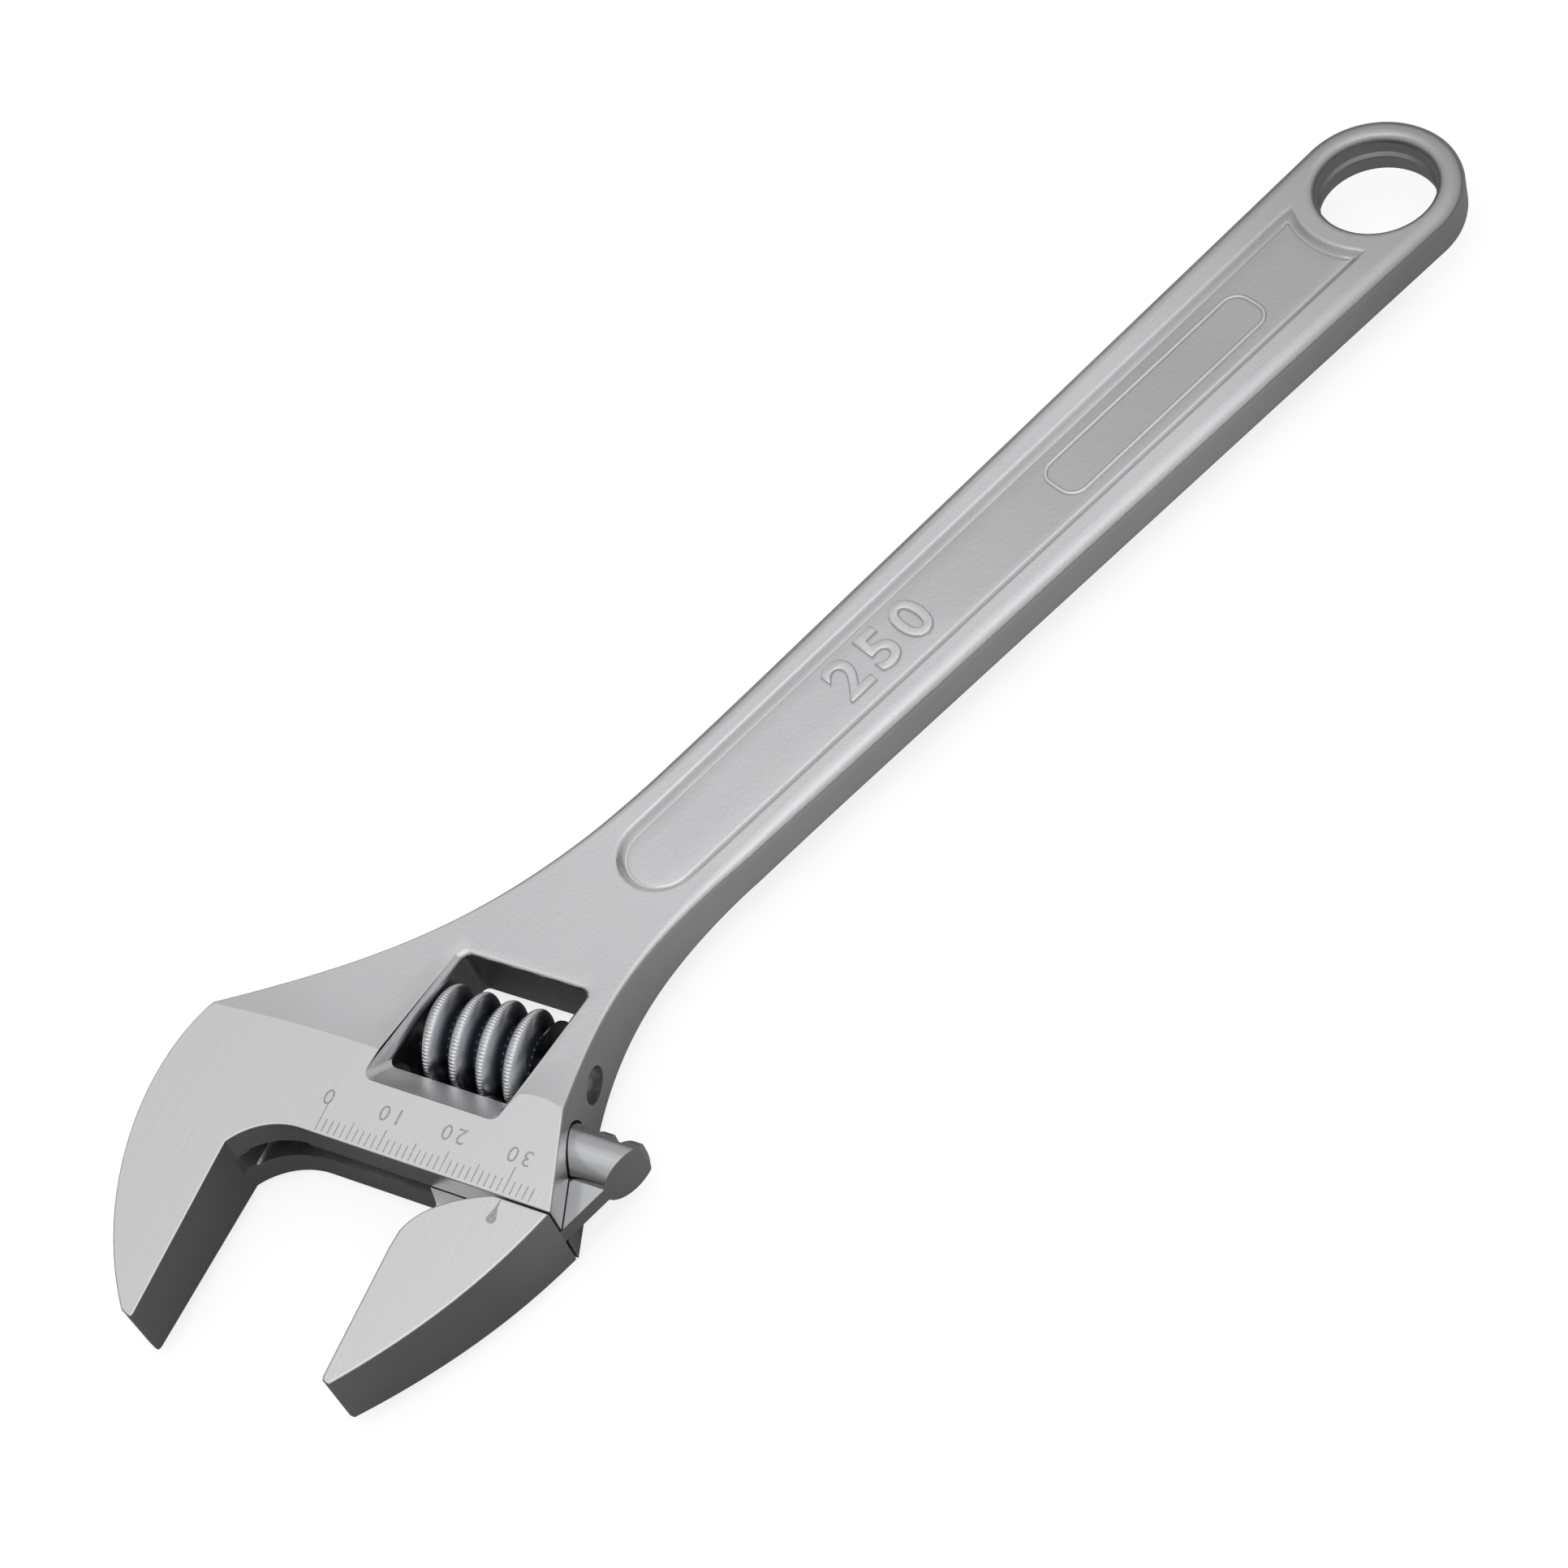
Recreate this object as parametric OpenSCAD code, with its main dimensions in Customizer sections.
// Adjustable wrench, 250 mm size, jaw opened to 30 mm.
// Lies flat: X runs from the hanging hole to the head, Z is the thickness.
// The origin is the centre of the hanging hole, half way through the handle.

/* [Handle] */
// Distance from the hanging hole to the corner of the jaw throat, along the handle
reach = 222.2; // [212:1:240]
// Sideways distance from the handle's centre line to the same corner
throat_side = 11.2; // [10:0.1:13]
// Thickness of the handle over its beads
handle_t = 7.8; // [6.5:0.1:8.6]
// Radius of the rounded end of the handle
end_r = 13.1; // [12.5:0.1:15]
// Width of the handle where it meets the head
neck_w = 21; // [20:0.1:24]
// Radius of the hanging hole
hole_r = 9; // [7:0.1:9.5]
// Depth of the recessed panel on each side
panel_depth = 0.9; // [0.5:0.1:1.4]
// Rounding of the handle's long edges
edge_r = 1.8; // [1:0.1:2.4]

/* [Head] */
// Angle between the jaw faces and the handle
jaw_angle = 21.1; // [15:0.1:23]
// Depth of the fixed jaw, from its tip to the throat corner
jaw_depth = 24.2; // [20:0.1:28]
// Thickness of the head at the throat corner
head_t = 13; // [12:0.1:15]
// Growth of the head's thickness per millimetre towards the handle
head_growth = 0.094; // [0.06:0.002:0.1]
// Radius of the curve between the fixed jaw and the throat
throat_r = 11.3; // [10:0.1:14]

/* [Movable jaw] */
// Opening between the jaw faces at rest
jaw_open = 30; // [25:0.5:32]
// Radius of the round rail
rail_r = 4.2; // [3.8:0.1:4.4]
// Distance of the rail's centre above the throat corner
rail_v = 19.6; // [19.2:0.1:20]
// Thickness of the web between jaw and rail
web_t = 2.8; // [2.2:0.1:3.6]

/* [Worm] */
// Outer radius of the thread
worm_r = 7.8; // [7.3:0.05:7.9]
// Length of the worm
worm_len = 17.6; // [16:0.1:17.8]
// Advance of the thread per turn, and the spacing of the rack teeth
pitch = 4.35; // [4.1:0.05:4.6]
// Depth of the thread
thread_h = 2.2; // [2:0.05:2.5]
// Radius of the screw pin's shank
pin_r = 1.7; // [1.4:0.05:1.9]
// Radius of the screw pin's head
pin_head_r = 2.7; // [2.3:0.05:2.9]

/* [Clearances] */
// Gap between the rail or its web and the body
slide_gap = 0.15; // [0.1:0.01:0.3]
// Gap between the worm and the screw pin
pin_gap = 0.08; // [0.05:0.01:0.1]
// Gap between the screw pin and its hole in the body
seat_gap = 0.02; // [0.01:0.01:0.05]
// Gap between the movable jaw's shoulder and the throat
shoulder_gap = 0.25; // [0.2:0.01:0.4]

/* [Hidden] */
$fn = 72;
steps = 20;
// Throat line, top of the machined band and the worm window, above the throat corner
throat_v = 8.3;
throat_u = 9.5;
band_v = 22.4;
window_low = 21.6;
window_high = 41;
worm_u = 26.75;
// The window leaves the worm room at its spring end and a little at the other
window_left = worm_u - worm_len / 2 - 2.15;
window_right = worm_u + worm_len / 2 + 0.35;
window_lean = 0.1;
window_chamfer = 2.8;
// The worm sits beside the rail, and its thread reaches this far into it
mesh_depth = 1.6;
worm_v = rail_v + rail_r + worm_r - mesh_depth;
// Distance from the worm's middle to the turn that faces the rail
mesh_shift = -1.6;
// The movable jaw's back is parallel to the handle
back_slope = tan(jaw_angle);
back_u = jaw_open + 19.2;
// Thread groove in the rail
rack_depth = mesh_depth + 0.2;
rack_top = 3.1;
rack_foot = 1.9;
// Screw pin, from its blind end to its head
pin_from = 10;
pin_head_from = 38.6;
pin_head_to = 42.6;
pin_slot = 0.9;
// Coil spring in the worm's counterbore
spring_bore = 3.4;
spring_room = 7;
spring_wire = 0.32;
spring_mean = 2.7;
spring_turns = 6;
// Handle panel
panel_boss_r = 13.2;
panel_w_hole = 14.2;
panel_w_head = 12.2;
panel_to = 148.5;
neck_x = 141;

// Point u, v of the head in the handle's frame
function head_pt(p) = [
    reach - p[0] * sin(jaw_angle) - p[1] * cos(jaw_angle),
    -throat_side + p[0] * cos(jaw_angle) - p[1] * sin(jaw_angle)
];
// Cubic curve through p0 and p3, without its last point
function curve(p0, p1, p2, p3) = [
    for (i = [0 : steps - 1])
        let (t = i / steps, s = 1 - t)
        s * s * s * p0 + 3 * s * s * t * p1 + 3 * s * t * t * p2 + t * t * t * p3
];
// Arc about c from angle a0 to a1
function arc(c, r, a0, a1) = [
    for (i = [0 : steps])
        let (a = a0 + (a1 - a0) * i / steps)
        c + r * [cos(a), sin(a)]
];
// Half thickness of the head at a height v
function head_half(v) = (head_t + head_growth * v) / 2;

// Places its children in the head: x along the jaw's travel, y from the jaws to the handle
module head_frame() {
    translate([reach, -throat_side, 0])
        rotate(90 + jaw_angle)
            children();
}

// Rounded disc that the ends of the handle are made from
module handle_disc(r) {
    half = handle_t / 2;
    rotate_extrude($fn = 64)
        union() {
            square([r - edge_r, half]);
            square([r, half - edge_r]);
            translate([r - edge_r, half - edge_r])
                circle(edge_r, $fn = 24);
            mirror([0, 1])
                union() {
                    square([r - edge_r, half]);
                    square([r, half - edge_r]);
                    translate([r - edge_r, half - edge_r])
                        circle(edge_r, $fn = 24);
                }
        }
}

// Outline of the head and of the neck that runs into the handle
module head_plan() {
    outer_top = [-12.5, 21.9];
    tip = [-2, 0.8 - jaw_depth];
    corner = [jaw_open + 19.3, throat_v];
    shoulder = [jaw_open + 14.2, band_v];
    polygon(concat(
        curve([neck_x, -neck_w / 2], [172, -10.6], [183, -16.5], head_pt(outer_top)),
        [for (p = curve(outer_top, [-18.5, 8.5], [-14, -10.5], tip)) head_pt(p)],
        [head_pt(tip), head_pt([0, -jaw_depth])],
        [for (p = arc([throat_u, throat_v - throat_r], throat_r, 180 - acos(throat_u / throat_r), 90)) head_pt(p)],
        [head_pt(corner)],
        curve(head_pt(shoulder), [172, 13], [162, 9.5], [neck_x, neck_w / 2]),
        [[neck_x, neck_w / 2], [neck_x - 8, neck_w / 2 - edge_r], [neck_x - 8, edge_r - neck_w / 2]]
    ));
}

// Side view of the head: thin at the tips, thickest at the machined band, then down to the handle
module head_side() {
    low = -40;
    high = 130;
    half = handle_t / 2;
    upper = [
        [low, head_half(low)],
        [band_v, head_half(band_v)],
        [window_high, half + 1.8],
        [64, half + 0.2],
        [80, half - 0.1],
        [high, half - 0.1]
    ];
    polygon(concat(upper, [for (i = [len(upper) - 1 : -1 : 0]) [upper[i][0], -upper[i][1]]]));
}

// Outline of the worm window, whose sides lean a little
module window_plan() {
    lean = window_lean * (window_high - window_low);
    polygon([
        [window_left, window_low],
        [window_right, window_low],
        [window_right + lean, window_high],
        [window_left + lean, window_high]
    ]);
}

// Recessed panel: concave round the hanging hole, round at the head
module panel_plan() {
    difference() {
        union() {
            polygon([
                [0, -panel_w_hole / 2],
                [panel_to, -panel_w_head / 2],
                [panel_to, panel_w_head / 2],
                [0, panel_w_hole / 2]
            ]);
            translate([panel_to, 0])
                circle(panel_w_head / 2);
        }
        circle(panel_boss_r);
    }
}

module body() {
    rail_hole = rail_r + slide_gap;
    slot = web_t + 2 * slide_gap;
    color("silver")
        difference() {
            union() {
                hull() {
                    handle_disc(end_r);
                    translate([neck_x + 7, 0, 0])
                        handle_disc(neck_w / 2 - 0.1);
                }
                intersection() {
                    linear_extrude(40, center = true)
                        head_plan();
                    head_frame()
                        rotate([90, 0, 90])
                            linear_extrude(200, center = true)
                                head_side();
                }
            }
            // Hanging hole
            cylinder(h = 2 * handle_t, r = hole_r, center = true);
            // Panels on both sides
            for (side = [0, 1])
                mirror([0, 0, side])
                    translate([0, 0, handle_t / 2 - panel_depth])
                        linear_extrude(10)
                            panel_plan();
            head_frame() {
                // Worm window, with its wide chamfer towards the jaws
                linear_extrude(40, center = true)
                    window_plan();
                for (side = [0, 1])
                    mirror([0, 0, side])
                        translate([window_left + 0.4, window_low, head_half(window_low) - window_chamfer])
                            rotate([90, 0, 90])
                                linear_extrude(window_right - window_left - 0.8)
                                    polygon([[1, -1], [1, 8], [-8, 8]]);
                // Round bore and slot for the rail and its web
                translate([-2.5, rail_v, 0])
                    rotate([0, 90, 0])
                        cylinder(h = 80, r = rail_hole);
                translate([-2.5, throat_v - 6, -slot / 2])
                    cube([80, rail_v - throat_v + 6, slot]);
                // Hole and counterbore for the screw pin
                translate([pin_from - 0.5, worm_v, 0])
                    rotate([0, 90, 0])
                        cylinder(h = 60, r = pin_r + seat_gap);
                translate([pin_head_from, worm_v, 0])
                    rotate([0, 90, 0])
                        cylinder(h = 20, r = pin_head_r + seat_gap);
            }
        }
}

// Outline of the movable jaw, from its face to its back
module jaw_plan() {
    face = jaw_open;
    top = throat_v - shoulder_gap;
    back = [back_u, throat_v];
    polygon(concat(
        [[face, 1.2 - jaw_depth], [face, 0.7], [face + 3, 4.3]],
        [[face + 10, top], [back_u + back_slope * (top - throat_v), top]],
        curve(back, [face + 17, 2], [face + 13, -9], [face + 1.4, 1 - jaw_depth])
    ));
}

module movable_jaw() {
    web_from = jaw_open - 1;
    color("silver")
        head_frame() {
            intersection() {
                linear_extrude(40, center = true)
                    jaw_plan();
                rotate([90, 0, 90])
                    linear_extrude(200, center = true)
                        head_side();
            }
            difference() {
                union() {
                    // Web between the jaw and the rail
                    translate([web_from, throat_v - 3, -web_t / 2])
                        cube([40, rail_v - throat_v + 3, web_t]);
                    translate([web_from, rail_v, 0])
                        rotate([0, 90, 0])
                            cylinder(h = 40, r = rail_r);
                }
                // The web stops at the jaw's chamfered shoulder
                translate([web_from - 1, throat_v - 4, -10])
                    cube([5.6, 3, 20]);
                // The rail and web end flush with the jaw's back
                linear_extrude(40, center = true)
                    polygon([
                        [back_u - 10 * back_slope, throat_v - 10],
                        [back_u + 40 * back_slope, throat_v + 40],
                        [back_u + 60, throat_v + 40],
                        [back_u + 60, throat_v - 10]
                    ]);
                // Rack grooves that the worm runs in
                for (i = [1 : 7])
                    translate([worm_u + mesh_shift + i * pitch, rail_v + rail_r - rack_depth, 0])
                        linear_extrude(20, center = true)
                            polygon([
                                [-rack_foot / 2, 0],
                                [rack_foot / 2, 0],
                                [rack_top / 2, rack_depth],
                                [rack_top / 2, 9],
                                [-rack_top / 2, 9],
                                [-rack_top / 2, rack_depth]
                            ]);
            }
        }
}

// Section of the worm across its axis: the crest of the thread is at angle 0
module worm_section() {
    core = worm_r - thread_h;
    polygon([
        for (a = [0 : 12 : 348])
            (core + thread_h * pow((1 + cos(a)) / 2, 0.8)) * [cos(a), sin(a)]
    ]);
}

module worm() {
    turn = 360 * worm_len / pitch;
    color("slategray")
        head_frame()
            translate([worm_u, worm_v, 0])
                rotate([0, 90, 0])
                    difference() {
                        // Thread, one of whose turns faces the rail at mesh_shift
                        rotate(-90 - turn / 2 - 360 * mesh_shift / pitch)
                            translate([0, 0, -worm_len / 2])
                                linear_extrude(worm_len, twist = -turn, slices = 60)
                                    worm_section();
                        cylinder(h = 60, r = pin_r + pin_gap, center = true);
                        translate([0, 0, -worm_len / 2 - 1])
                            cylinder(h = spring_room + 1, r = spring_bore);
                    }
}

module worm_pin() {
    color("gray")
        head_frame()
            translate([0, worm_v, 0])
                rotate([0, 90, 0])
                    difference() {
                        union() {
                            translate([0, 0, pin_from])
                                cylinder(h = pin_head_to - pin_from - 1, r = pin_r);
                            translate([0, 0, pin_head_from + 0.1])
                                cylinder(h = pin_head_to - pin_head_from - 0.1, r = pin_head_r);
                        }
                        // Screwdriver slot
                        translate([-pin_slot / 2, -10, pin_head_to - 1.2])
                            cube([pin_slot, 20, 10]);
                    }
}

module worm_spring() {
    side = 6;
    per_turn = 16;
    count = spring_turns * per_turn;
    from = worm_u - worm_len / 2 - 0.9 + spring_wire;
    length = spring_room + 0.9 - 2 * spring_wire - 0.1;
    points = [
        for (i = [0 : count])
            let (a = 360 * i / per_turn, u = from + length * i / count)
            for (k = [0 : side - 1])
                let (b = 360 * k / side, r = spring_mean + spring_wire * cos(b))
                [u + spring_wire * sin(b), worm_v + r * cos(a), r * sin(a)]
    ];
    rings = [
        for (i = [0 : count - 1])
            for (k = [0 : side - 1])
                let (n = (k + 1) % side)
                [i * side + k, i * side + n, (i + 1) * side + n, (i + 1) * side + k]
    ];
    ends = [
        [for (k = [side - 1 : -1 : 0]) k],
        [for (k = [0 : side - 1]) count * side + k]
    ];
    color("dimgray")
        head_frame()
            polyhedron(points, concat(rings, ends));
}

body();
movable_jaw();
worm();
worm_pin();
worm_spring();
